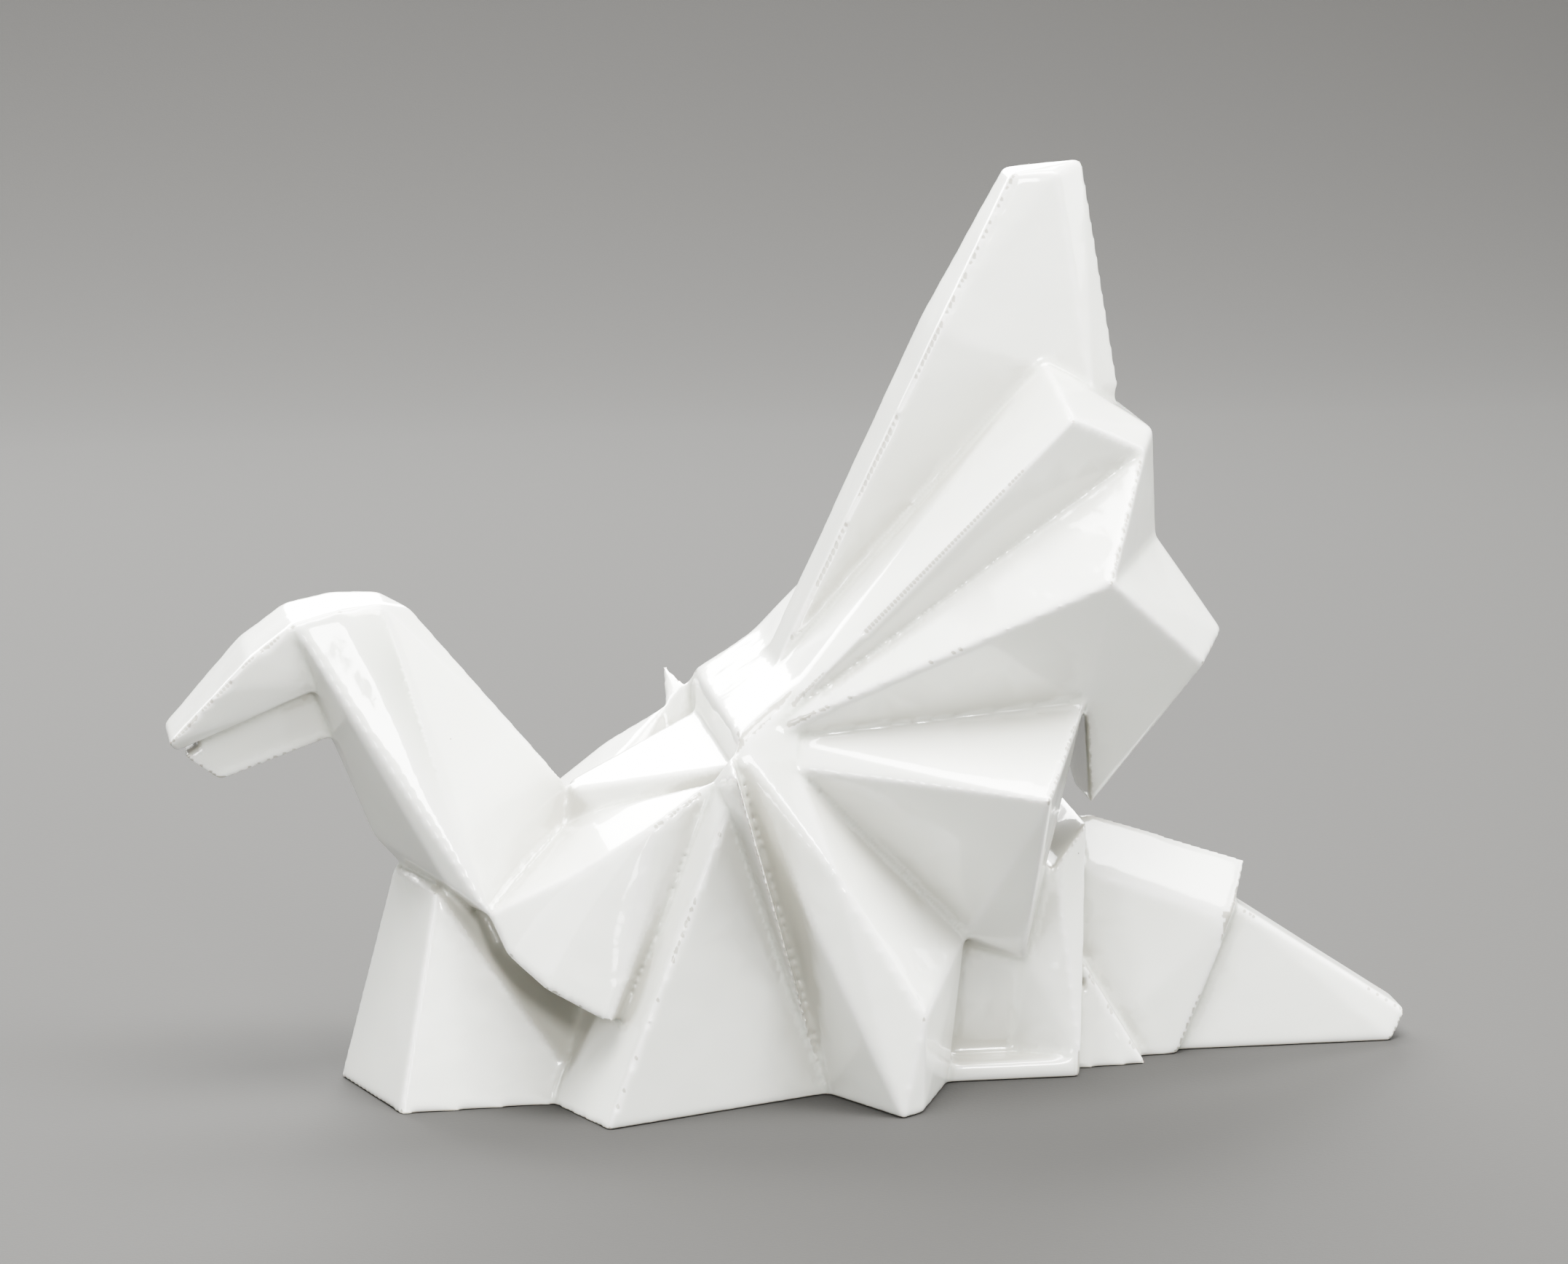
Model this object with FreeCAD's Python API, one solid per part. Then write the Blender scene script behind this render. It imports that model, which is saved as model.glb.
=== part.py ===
import FreeCAD, Part

import itertools
import os

# Origami crane figure, slip-cast in one piece of glazed white porcelain.
# X runs from the beak to the tail, Y across, Z up, and the figure mirrors in the plane Y = 0.
# Until the last step X is measured back from the foot of the breast.
# A place is given as X back, Y out from the middle plane, and Z above the table.

# Breast and skirt, the standing part of the body
BREAST_TOP_X = 17
BREAST_TOP_Z = 65
BREAST_FOLD_FOOT_X = 14
BREAST_FOLD_FOOT_Y = 43
BREAST_FOLD_TOP_X = 27
BREAST_FOLD_TOP_Y = 28
BREAST_FOLD_TOP_Z = 64
FRONT_VALLEY_FOOT_X = 60
FRONT_VALLEY_FOOT_Y = 39
FRONT_PLEAT_FOOT_X = 73
FRONT_PLEAT_FOOT_Y = 69
MIDDLE_VALLEY_FOOT_X = 143
MIDDLE_VALLEY_FOOT_Y = 42
REAR_PLEAT_FOOT_X = 161
REAR_PLEAT_FOOT_Y = 71
SKIRT_END_X = 168
SKIRT_END_Y = 66

# Shoulder, where the front pleats gather
SHOULDER_X = 110
SHOULDER_Y = 80
SHOULDER_Z = 108.5
SHOULDER_LOW_X = 110.6
SHOULDER_LOW_Y = 62
SHOULDER_LOW_Z = 95.8
SHOULDER_ROOT_X = 113
SHOULDER_ROOT_Y = 50
SHOULDER_ROOT_Z = 108

# Deck, the white saddle in front of the raised wing
DECK_FRONT_X = 115
DECK_FRONT_Y = 49
DECK_FRONT_Z = 113
DECK_BACK_X = 128
DECK_BACK_Z = 122

# Rear pleat of the skirt, which falls from the deck
REAR_CREST_X = 142.5
REAR_CREST_Y = 62
REAR_CREST_Z = 73.5
REAR_PLEAT_END_X = 168
REAR_PLEAT_END_Y = 69
REAR_PLEAT_END_Z = 30
REAR_VALLEY_TOP_X = 132
REAR_VALLEY_TOP_Y = 50
REAR_VALLEY_TOP_Z = 103
REAR_VALLEY_END_X = 186
REAR_VALLEY_END_Y = 36
REAR_VALLEY_END_Z = 46

# Neck, a kite in section: keel in front, two side folds, ridge at the back
NECK_KEEL_TOP_X = -2
NECK_KEEL_TOP_Z = 107
NECK_KEEL_MID_X = 11
NECK_KEEL_MID_Z = 75
NECK_KEEL_LOW_X = 26
NECK_KEEL_LOW_Z = 58
NECK_SIDE_TOP_X = -13.5
NECK_SIDE_TOP_Y = 17
NECK_SIDE_TOP_Z = 144.5
NECK_SIDE_MID_X = 9
NECK_SIDE_MID_Y = 21
NECK_SIDE_MID_Z = 103
NECK_SIDE_LOW_X = 30
NECK_SIDE_LOW_Y = 31
NECK_SIDE_LOW_Z = 67
NAPE_X = 23
NAPE_Z = 145
NECK_BACK_FOOT_X = 69
NECK_BACK_FOOT_Z = 90

# Head and beak
CROWN_X = 1
CROWN_Y = 15
CROWN_Z = 148
CROWN_REAR_X = 14
CROWN_REAR_Y = 10
CROWN_REAR_Z = 148.5
BEAK_MID_X = -35
BEAK_MID_Y = 18
BEAK_MID_Z = 125.5
BEAK_BRIDGE_X = -27
BEAK_BRIDGE_Y = 18.5
BEAK_BRIDGE_Z = 134.5
BEAK_TIP_X = -51
BEAK_TIP_Y = 14
BEAK_TIP_Z = 108.5
BEAK_LIP_X = -48
BEAK_LIP_Y = 9
BEAK_LIP_Z = 105
BEAK_CORNER_X = -7
BEAK_CORNER_Y = 12
BEAK_CORNER_Z = 126
JAW_TIP_X = -46
JAW_TIP_Z = 103
JAW_CHIN_X = -35
JAW_CHIN_Z = 95
JAW_THROAT_X = -2
JAW_THROAT_Z = 107
JAW_Y = 6

# Flap, the fold that runs from the neck down over the front pleat
FLAP_EDGE_X = 46.5
FLAP_EDGE_Y = 46
FLAP_EDGE_Z = 48
FLAP_CORNER_X = 75
FLAP_CORNER_Y = 61
FLAP_CORNER_Z = 30
FLAP_TOP_X = 107
FLAP_TOP_Y = 52
FLAP_TOP_Z = 100.5
FLAP_FOLD_X = 89
FLAP_FOLD_Y = 56
FLAP_FOLD_Z = 89
FLAP_SWELL_X = 67.5
FLAP_SWELL_Y = 50
FLAP_SWELL_Z = 74.5
FLAP_LIP_X = 56.5
FLAP_LIP_Y = 54
FLAP_LIP_Z = 39.5
FLAP_POINT_X = 41.5
FLAP_POINT_Y = 38
FLAP_POINT_Z = 59
FLAP_VALLEY_X = 78
FLAP_VALLEY_Y = 14
FLAP_VALLEY_Z = 84
FLAP_VALLEY_MID_X = 94
FLAP_VALLEY_MID_Y = 24
FLAP_VALLEY_MID_Z = 89

# Back of the body between the neck and the deck
BACK_FRONT_X = 71
BACK_FRONT_Y = 5
BACK_FRONT_Z = 89
BACK_MID_X = 95
BACK_MID_Y = 18
BACK_MID_Z = 96
BACK_REAR_X = 114.5
BACK_REAR_Y = 38
BACK_REAR_Z = 102

# Raised wing, a slab with a keel along its rear edge
WING_TOP_FRONT_X = 204
WING_TOP_REAR_X = 217.5
WING_TOP_Y = 8
WING_TOP_Z = 273
WING_TOP_KEEL_X = 227
WING_TOP_KEEL_Z = 276
WING_MID_X = 180
WING_MID_Y = 14
WING_MID_Z = 227
WING_ROOT_X = 130
WING_ROOT_Y = 11
WING_ROOT_Z = 121
WING_NOTCH_X = 228
WING_NOTCH_Y = 13
WING_NOTCH_Z = 208
WING_NOTCH_KEEL_X = 239
WING_NOTCH_KEEL_Z = 207

# First pleat of the wing, the upper one
FIRST_PLEAT_ROOT_X = 134
FIRST_PLEAT_ROOT_Y = 41
FIRST_PLEAT_ROOT_Z = 127
FIRST_PLEAT_END_X = 213
FIRST_PLEAT_END_Y = 12
FIRST_PLEAT_END_Z = 217
SECOND_CREST_ROOT_X = 134
SECOND_CREST_ROOT_Y = 46
SECOND_CREST_ROOT_Z = 124
SECOND_CREST_END_X = 215.8
SECOND_CREST_END_Y = 45
SECOND_CREST_END_Z = 204.8
UPPER_VALLEY_ROOT_X = 128
UPPER_VALLEY_ROOT_Y = 44
UPPER_VALLEY_ROOT_Z = 116
UPPER_VALLEY_END_X = 240
UPPER_VALLEY_END_Y = 34
UPPER_VALLEY_END_Z = 192.7
WING_SHOULDER_X = 245
WING_SHOULDER_Y = 22
WING_SHOULDER_Z = 197

# Second pleat of the wing, the long one that reaches back over the tail
THIRD_CREST_ROOT_X = 130
THIRD_CREST_ROOT_Y = 48
THIRD_CREST_ROOT_Z = 116
THIRD_CREST_END_X = 225
THIRD_CREST_END_Y = 60
THIRD_CREST_END_Z = 158
WING_NECK_X = 249
WING_NECK_Y = 10
WING_NECK_Z = 162
WING_HEEL_X = 270
WING_HEEL_Y = 10
WING_HEEL_Z = 132
WING_HEEL_SIDE_X = 260
WING_HEEL_SIDE_Y = 30
WING_HEEL_SIDE_Z = 126
LOWER_VALLEY_ROOT_X = 129
LOWER_VALLEY_ROOT_Y = 45
LOWER_VALLEY_ROOT_Z = 111
LOWER_VALLEY_END_X = 222
LOWER_VALLEY_END_Y = 37
LOWER_VALLEY_END_Z = 117.5
WING_TAIL_X = 229
WING_TAIL_Y = 12
WING_TAIL_Z = 79

# Third pleat of the wing, the bright shelf
FOURTH_CREST_ROOT_X = 132
FOURTH_CREST_ROOT_Y = 50
FOURTH_CREST_ROOT_Z = 103
FOURTH_CREST_END_X = 205
FOURTH_CREST_END_Y = 70
FOURTH_CREST_END_Z = 95
SHELF_FOOT_REAR_X = 206
SHELF_FOOT_FRONT_X = 189
SHELF_FOOT_Y = 28
SHELF_FOOT_REAR_Z = 36
SHELF_FOOT_FRONT_Z = 41

# Step and strut behind the skirt
STEP_FRONT_X = 181
STEP_REAR_X = 220
STEP_Y = 36
STEP_Z = 6
RECESS_WALL_Y = 27
STRUT_FOOT_FRONT_X = 201
STRUT_FOOT_REAR_X = 222
STRUT_FOOT_Y = 36
STRUT_TOP_X = 227
STRUT_TOP_Y = 18
STRUT_TOP_Z = 76
STRUT_MID_X = 216
STRUT_MID_Y = 26
STRUT_MID_Z = 65

# Tail block and tail
TAIL_BLOCK_FRONT_X = 231
TAIL_BLOCK_FRONT_Z = 74
TAIL_BLOCK_REAR_X = 281
TAIL_BLOCK_REAR_Z = 57
TAIL_BLOCK_SIDE_X = 274
TAIL_BLOCK_SIDE_Y = 15
TAIL_BLOCK_SIDE_Z = 43
TAIL_BLOCK_FOOT_FRONT_X = 223
TAIL_BLOCK_FOOT_REAR_X = 257
TAIL_BLOCK_FOOT_Y = 18
TAIL_BLOCK_FOOT_REAR_Y = 16
TAIL_BLOCK_CORE_Y = 12
TAIL_TUCK_FRONT_Y = 27
TAIL_TUCK_REAR_X = 245
TAIL_TUCK_REAR_Y = 25
TAIL_TUCK_TOP_X = 226
TAIL_TUCK_TOP_Y = 22
TAIL_TUCK_TOP_Z = 32
TAIL_ROOT_Z = 47
TAIL_CORE_X = 227
TAIL_TOP_Y = 9
TAIL_FOOT_Y = 12
TAIL_END_X = 331
TAIL_END_Z = 9
TAIL_END_FOOT_X = 326

# Underside, left unglazed where the figure stands in the kiln
FOOT_RECESS_DEPTH = 1.5
FOOT_RECESS_MARGIN = 12
VENT_DIAMETER = 9
VENT_DEPTH = 30
VENT_X = 110

# Forms run this far past the middle plane, and a cut this far past the face it starts in
OVERLAP = 1
# Corners nearer than this are one corner, and lower steps than this are flat
SAME_PLACE = 0.01
FLAT = 1e-6


def place(x, y, z):
    """A place in the figure, Y measured out from the middle plane."""
    return FreeCAD.Vector(x, y, z)


def twins(*corners):
    """The corners and their mirror images in the middle plane."""
    return list(corners) + [FreeCAD.Vector(c.x, -c.y, c.z) for c in corners]


def to_middle(*corners):
    """The corners and the same places brought in just past the middle plane."""
    return list(corners) + [FreeCAD.Vector(c.x, -OVERLAP, c.z) for c in corners]


def at_core(x, z):
    """A place just past the middle plane, deep inside the body."""
    return FreeCAD.Vector(x, -OVERLAP, z)


def ring_around(points, normal):
    """The outer corners of one flat face, in order around it."""
    across = (points[1] - points[0]).normalize()
    up = normal.cross(across)
    flat = sorted((p.dot(across), p.dot(up), i) for i, p in enumerate(points))

    def half_ring(row):
        kept = []
        for u, v, i in row:
            while len(kept) > 1:
                (u0, v0, _), (u1, v1, _) = kept[-2:]
                if (u1 - u0) * (v - v0) - (v1 - v0) * (u - u0) > FLAT:
                    break
                kept.pop()
            kept.append((u, v, i))
        return kept[:-1]

    return [points[i] for _, _, i in half_ring(flat) + half_ring(flat[::-1])]


def folded_form(corners):
    """The solid with flat faces that is stretched over its corners, like folded paper."""
    points = []
    for c in corners:
        if all(c.distanceToPoint(p) > SAME_PLACE for p in points):
            points.append(c)
    faces = []
    done = set()
    for a, b, c in itertools.combinations(points, 3):
        normal = (b - a).cross(c - a)
        if normal.Length < FLAT:
            continue
        normal.normalize()
        heights = [(p - a).dot(normal) for p in points]
        if max(heights) > FLAT and min(heights) < -FLAT:
            continue
        if max(heights) > FLAT:
            normal = normal * -1
        on_face = [p for p, h in zip(points, heights) if abs(h) <= FLAT]
        key = frozenset(points.index(p) for p in on_face)
        if key in done:
            continue
        done.add(key)
        ring = ring_around(on_face, normal)
        faces.append(Part.Face(Part.makePolygon(ring + [ring[0]])))
    return Part.Solid(Part.Shell(faces))


def breast():
    """Front of the body: a blunt keel with a folded corner on each side."""
    return folded_form(twins(
        place(0, 0, 0),
        place(BREAST_TOP_X, 0, BREAST_TOP_Z),
        place(BREAST_FOLD_FOOT_X, BREAST_FOLD_FOOT_Y, 0),
        place(BREAST_FOLD_TOP_X, BREAST_FOLD_TOP_Y, BREAST_FOLD_TOP_Z),
        place(FRONT_VALLEY_FOOT_X, FRONT_VALLEY_FOOT_Y, 0),
        place(FRONT_PLEAT_FOOT_X, FRONT_VALLEY_FOOT_Y, 0),
        place(BACK_FRONT_X, BACK_FRONT_Y, FLAP_EDGE_Z)))


def shoulder():
    """The corner that flares out at the top of the broad pleat."""
    return folded_form([
        place(SHOULDER_X, SHOULDER_Y, SHOULDER_Z),
        place(SHOULDER_LOW_X, SHOULDER_LOW_Y, SHOULDER_LOW_Z),
        place(SHOULDER_ROOT_X, SHOULDER_ROOT_Y, SHOULDER_ROOT_Z),
        place(FLAP_TOP_X, FLAP_TOP_Y, FLAP_TOP_Z),
        place(MIDDLE_VALLEY_FOOT_X, MIDDLE_VALLEY_FOOT_Y, 0),
        at_core(SHOULDER_X, FLAP_EDGE_Z)])


def front_pleat():
    """The broad pleat of the skirt that rises to the shoulder."""
    return folded_form([
        place(SHOULDER_LOW_X, SHOULDER_LOW_Y, SHOULDER_LOW_Z),
        place(SHOULDER_ROOT_X, SHOULDER_ROOT_Y, SHOULDER_ROOT_Z),
        place(FLAP_TOP_X, FLAP_TOP_Y, FLAP_TOP_Z),
        place(FRONT_PLEAT_FOOT_X, FRONT_PLEAT_FOOT_Y, 0),
        place(MIDDLE_VALLEY_FOOT_X, MIDDLE_VALLEY_FOOT_Y, 0),
        at_core(FRONT_PLEAT_FOOT_X, 0),
        at_core(MIDDLE_VALLEY_FOOT_X, 0),
        at_core(SHOULDER_X, FLAP_EDGE_Z)])


def front_pleat_foot():
    """The lower front of the broad pleat, which runs in under the flap."""
    return folded_form([
        place(FLAP_TOP_X, FLAP_TOP_Y, FLAP_TOP_Z),
        place(FRONT_PLEAT_FOOT_X, FRONT_PLEAT_FOOT_Y, 0),
        place(FRONT_VALLEY_FOOT_X, FRONT_VALLEY_FOOT_Y, 0),
        place(MIDDLE_VALLEY_FOOT_X, MIDDLE_VALLEY_FOOT_Y, 0),
        at_core(FRONT_VALLEY_FOOT_X, 0),
        at_core(MIDDLE_VALLEY_FOOT_X, 0),
        at_core(SHOULDER_X, FLAP_EDGE_Z)])


def rear_pleat():
    """The pleat that falls from the deck to the rear corner of the skirt."""
    return folded_form([
        place(DECK_FRONT_X, DECK_FRONT_Y, DECK_FRONT_Z),
        place(SHOULDER_ROOT_X, SHOULDER_ROOT_Y, SHOULDER_ROOT_Z),
        place(REAR_CREST_X, REAR_CREST_Y, REAR_CREST_Z),
        place(REAR_PLEAT_END_X, REAR_PLEAT_END_Y, REAR_PLEAT_END_Z),
        place(REAR_PLEAT_FOOT_X, REAR_PLEAT_FOOT_Y, 0),
        place(SKIRT_END_X, SKIRT_END_Y, 0),
        place(MIDDLE_VALLEY_FOOT_X, MIDDLE_VALLEY_FOOT_Y, 0),
        place(REAR_VALLEY_TOP_X, REAR_VALLEY_TOP_Y, REAR_VALLEY_TOP_Z),
        place(REAR_VALLEY_END_X, REAR_VALLEY_END_Y, REAR_VALLEY_END_Z),
        place(STEP_FRONT_X, STEP_Y, 0),
        at_core(MIDDLE_VALLEY_FOOT_X, 0),
        at_core(STEP_FRONT_X, 0),
        at_core(REAR_VALLEY_END_X, REAR_VALLEY_END_Z),
        at_core(REAR_VALLEY_TOP_X, FLAP_EDGE_Z)])


def deck():
    """The saddle that carries the wing and drops to the back in a straight riser."""
    return folded_form(twins(
        place(DECK_FRONT_X, DECK_FRONT_Y, DECK_FRONT_Z),
        place(DECK_BACK_X, 0, DECK_BACK_Z),
        place(FIRST_PLEAT_ROOT_X, FIRST_PLEAT_ROOT_Y, FIRST_PLEAT_ROOT_Z),
        place(UPPER_VALLEY_ROOT_X, UPPER_VALLEY_ROOT_Y, UPPER_VALLEY_ROOT_Z),
        place(REAR_VALLEY_TOP_X, REAR_VALLEY_TOP_Y, REAR_VALLEY_TOP_Z),
        place(BACK_REAR_X, BACK_REAR_Y, BACK_REAR_Z),
        place(BACK_REAR_X, FRONT_VALLEY_FOOT_Y, 0),
        place(MIDDLE_VALLEY_FOOT_X, FRONT_VALLEY_FOOT_Y, 0)))


def back():
    """The back of the body, widening from the neck to the deck."""
    return folded_form(twins(
        place(BACK_FRONT_X, BACK_FRONT_Y, BACK_FRONT_Z),
        place(BACK_MID_X, BACK_MID_Y, BACK_MID_Z),
        place(BACK_REAR_X, BACK_REAR_Y, BACK_REAR_Z),
        place(FLAP_VALLEY_MID_X, FLAP_VALLEY_MID_Y, FLAP_VALLEY_MID_Z),
        place(FLAP_VALLEY_X, FLAP_VALLEY_Y, FLAP_VALLEY_Z),
        place(FRONT_VALLEY_FOOT_X, FLAP_VALLEY_Y, 0),
        place(BACK_REAR_X, FRONT_VALLEY_FOOT_Y, 0)))


def flap():
    """The broad end of the flap, which spreads over the front pleat."""
    return folded_form([
        place(FLAP_SWELL_X, FLAP_SWELL_Y, FLAP_SWELL_Z),
        place(FLAP_LIP_X, FLAP_LIP_Y, FLAP_LIP_Z),
        place(FLAP_CORNER_X, FLAP_CORNER_Y, FLAP_CORNER_Z),
        place(FLAP_TOP_X, FLAP_TOP_Y, FLAP_TOP_Z),
        place(FLAP_FOLD_X, FLAP_FOLD_Y, FLAP_FOLD_Z),
        place(FLAP_VALLEY_MID_X, FLAP_VALLEY_MID_Y, FLAP_VALLEY_MID_Z),
        place(FLAP_VALLEY_X, FLAP_VALLEY_Y, FLAP_VALLEY_Z),
        at_core(FLAP_LIP_X, FLAP_LIP_Z),
        at_core(SHOULDER_X, FLAP_CORNER_Z),
        at_core(SHOULDER_X, FLAP_EDGE_Z)])


def flap_shank():
    """The narrow start of the flap, where it leaves the side fold of the neck."""
    return folded_form(to_middle(
        place(FLAP_POINT_X, FLAP_POINT_Y, FLAP_POINT_Z),
        place(FLAP_EDGE_X, FLAP_EDGE_Y, FLAP_EDGE_Z),
        place(FLAP_LIP_X, FLAP_LIP_Y, FLAP_LIP_Z),
        place(FLAP_SWELL_X, FLAP_SWELL_Y, FLAP_SWELL_Z),
        place(FLAP_VALLEY_X, FLAP_VALLEY_Y, FLAP_VALLEY_Z)))


def neck():
    """The neck, deep from keel to ridge and thin across."""
    return folded_form(twins(
        place(NECK_KEEL_TOP_X, 0, NECK_KEEL_TOP_Z),
        place(NECK_KEEL_MID_X, 0, NECK_KEEL_MID_Z),
        place(NECK_KEEL_LOW_X, 0, NECK_KEEL_LOW_Z),
        place(NECK_SIDE_TOP_X, NECK_SIDE_TOP_Y, NECK_SIDE_TOP_Z),
        place(NECK_SIDE_MID_X, NECK_SIDE_MID_Y, NECK_SIDE_MID_Z),
        place(NECK_SIDE_LOW_X, NECK_SIDE_LOW_Y, NECK_SIDE_LOW_Z),
        place(FLAP_POINT_X, FLAP_POINT_Y, FLAP_POINT_Z),
        place(NAPE_X, 0, NAPE_Z),
        place(CROWN_X, CROWN_Y, CROWN_Z),
        place(CROWN_REAR_X, CROWN_REAR_Y, CROWN_REAR_Z),
        place(NECK_BACK_FOOT_X, 0, NECK_BACK_FOOT_Z),
        place(FLAP_VALLEY_X, FLAP_VALLEY_Y, FLAP_EDGE_Z)))


def head():
    """The upper beak with its flat top, running up to the crown."""
    return folded_form(twins(
        place(CROWN_X, CROWN_Y, CROWN_Z),
        place(NECK_SIDE_TOP_X, NECK_SIDE_TOP_Y, NECK_SIDE_TOP_Z),
        place(BEAK_MID_X, BEAK_MID_Y, BEAK_MID_Z),
        place(BEAK_BRIDGE_X, BEAK_BRIDGE_Y, BEAK_BRIDGE_Z),
        place(BEAK_TIP_X, BEAK_TIP_Y, BEAK_TIP_Z),
        place(BEAK_LIP_X, BEAK_LIP_Y, BEAK_LIP_Z),
        place(BEAK_CORNER_X, BEAK_CORNER_Y, BEAK_CORNER_Z),
        place(CROWN_X, BEAK_CORNER_Y, BEAK_CORNER_Z)))


def jaw():
    """The lower beak, thinner than the upper one and set back under it."""
    return folded_form(twins(
        place(JAW_TIP_X, JAW_Y, JAW_TIP_Z),
        place(JAW_CHIN_X, JAW_Y, JAW_CHIN_Z),
        place(JAW_THROAT_X, JAW_Y, JAW_THROAT_Z),
        place(BEAK_CORNER_X, JAW_Y, BEAK_CORNER_Z),
        place(CROWN_X, JAW_Y, BEAK_CORNER_Z)))


def wing_blade():
    """The raised wing itself, a tapering slab on the middle plane."""
    return folded_form(twins(
        place(WING_TOP_FRONT_X, WING_TOP_Y, WING_TOP_Z),
        place(WING_TOP_REAR_X, WING_TOP_Y, WING_TOP_Z),
        place(WING_TOP_KEEL_X, 0, WING_TOP_KEEL_Z),
        place(WING_MID_X, WING_MID_Y, WING_MID_Z),
        place(WING_ROOT_X, WING_ROOT_Y, WING_ROOT_Z),
        place(WING_NOTCH_X, WING_NOTCH_Y, WING_NOTCH_Z),
        place(WING_NOTCH_KEEL_X, 0, WING_NOTCH_KEEL_Z),
        place(LOWER_VALLEY_END_X, 0, LOWER_VALLEY_END_Z)))


def upper_wing_pleat():
    """The pleat that leans on the wing blade."""
    return folded_form(to_middle(
        place(WING_ROOT_X, WING_ROOT_Y, WING_ROOT_Z),
        place(FIRST_PLEAT_ROOT_X, FIRST_PLEAT_ROOT_Y, FIRST_PLEAT_ROOT_Z),
        place(FIRST_PLEAT_END_X, FIRST_PLEAT_END_Y, FIRST_PLEAT_END_Z),
        place(SECOND_CREST_ROOT_X, SECOND_CREST_ROOT_Y, SECOND_CREST_ROOT_Z),
        place(SECOND_CREST_END_X, SECOND_CREST_END_Y, SECOND_CREST_END_Z),
        place(UPPER_VALLEY_ROOT_X, UPPER_VALLEY_ROOT_Y, UPPER_VALLEY_ROOT_Z),
        place(UPPER_VALLEY_END_X, UPPER_VALLEY_END_Y, UPPER_VALLEY_END_Z),
        place(WING_SHOULDER_X, WING_SHOULDER_Y, WING_SHOULDER_Z)))


def long_wing_pleat():
    """The long pleat with the heel that overhangs the tail."""
    return folded_form(to_middle(
        place(UPPER_VALLEY_ROOT_X, UPPER_VALLEY_ROOT_Y, UPPER_VALLEY_ROOT_Z),
        place(UPPER_VALLEY_END_X, UPPER_VALLEY_END_Y, UPPER_VALLEY_END_Z),
        place(WING_SHOULDER_X, WING_SHOULDER_Y, WING_SHOULDER_Z),
        place(THIRD_CREST_ROOT_X, THIRD_CREST_ROOT_Y, THIRD_CREST_ROOT_Z),
        place(THIRD_CREST_END_X, THIRD_CREST_END_Y, THIRD_CREST_END_Z),
        place(WING_NECK_X, WING_NECK_Y, WING_NECK_Z),
        place(LOWER_VALLEY_ROOT_X, LOWER_VALLEY_ROOT_Y, LOWER_VALLEY_ROOT_Z),
        place(LOWER_VALLEY_END_X, LOWER_VALLEY_END_Y, LOWER_VALLEY_END_Z)))


def wing_heel():
    """The sloping end of the long pleat."""
    return folded_form(to_middle(
        place(THIRD_CREST_END_X, THIRD_CREST_END_Y, THIRD_CREST_END_Z),
        place(WING_NECK_X, WING_NECK_Y, WING_NECK_Z),
        place(WING_HEEL_X, WING_HEEL_Y, WING_HEEL_Z),
        place(WING_HEEL_SIDE_X, WING_HEEL_SIDE_Y, WING_HEEL_SIDE_Z),
        place(LOWER_VALLEY_END_X, LOWER_VALLEY_END_Y, LOWER_VALLEY_END_Z),
        place(WING_TAIL_X, WING_TAIL_Y, WING_TAIL_Z)))


def shelf_pleat():
    """The lowest wing pleat, whose top is the bright shelf."""
    return folded_form(to_middle(
        place(FOURTH_CREST_ROOT_X, FOURTH_CREST_ROOT_Y, FOURTH_CREST_ROOT_Z),
        place(FOURTH_CREST_END_X, FOURTH_CREST_END_Y, FOURTH_CREST_END_Z),
        place(LOWER_VALLEY_ROOT_X, LOWER_VALLEY_ROOT_Y, LOWER_VALLEY_ROOT_Z),
        place(LOWER_VALLEY_END_X, LOWER_VALLEY_END_Y, LOWER_VALLEY_END_Z),
        place(SHELF_FOOT_REAR_X, SHELF_FOOT_Y, SHELF_FOOT_REAR_Z),
        place(SHELF_FOOT_FRONT_X, SHELF_FOOT_Y, SHELF_FOOT_FRONT_Z),
        place(REAR_VALLEY_END_X, REAR_VALLEY_END_Y, REAR_VALLEY_END_Z)))


def recess_wall():
    """The plain wall between the skirt and the strut, under the shelf."""
    return folded_form(to_middle(
        place(MIDDLE_VALLEY_FOOT_X, RECESS_WALL_Y, 0),
        place(STEP_REAR_X, RECESS_WALL_Y, 0),
        place(STEP_REAR_X, RECESS_WALL_Y, SHELF_FOOT_REAR_Z),
        place(SHELF_FOOT_REAR_X, RECESS_WALL_Y, FOURTH_CREST_END_Z),
        place(MIDDLE_VALLEY_FOOT_X, RECESS_WALL_Y, FOURTH_CREST_END_Z)))


def step():
    """The low step at the foot of the recess."""
    return folded_form(to_middle(
        place(STEP_FRONT_X, STEP_Y, 0),
        place(STEP_REAR_X, STEP_Y, 0),
        place(STEP_FRONT_X, STEP_Y, STEP_Z),
        place(STEP_REAR_X, STEP_Y, STEP_Z)))


def strut():
    """The narrow slanting face that props the wing behind the recess."""
    return folded_form(to_middle(
        place(STRUT_FOOT_FRONT_X, RECESS_WALL_Y, STEP_Z),
        place(STRUT_FOOT_REAR_X, STRUT_FOOT_Y, 0),
        place(STRUT_FOOT_REAR_X, STRUT_FOOT_Y, STEP_Z),
        place(STRUT_TOP_X, STRUT_TOP_Y, STRUT_TOP_Z),
        place(STRUT_MID_X, STRUT_MID_Y, STRUT_MID_Z),
        place(SHELF_FOOT_REAR_X, RECESS_WALL_Y, SHELF_FOOT_REAR_Z),
        place(STRUT_FOOT_FRONT_X, RECESS_WALL_Y, 0)))


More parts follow.
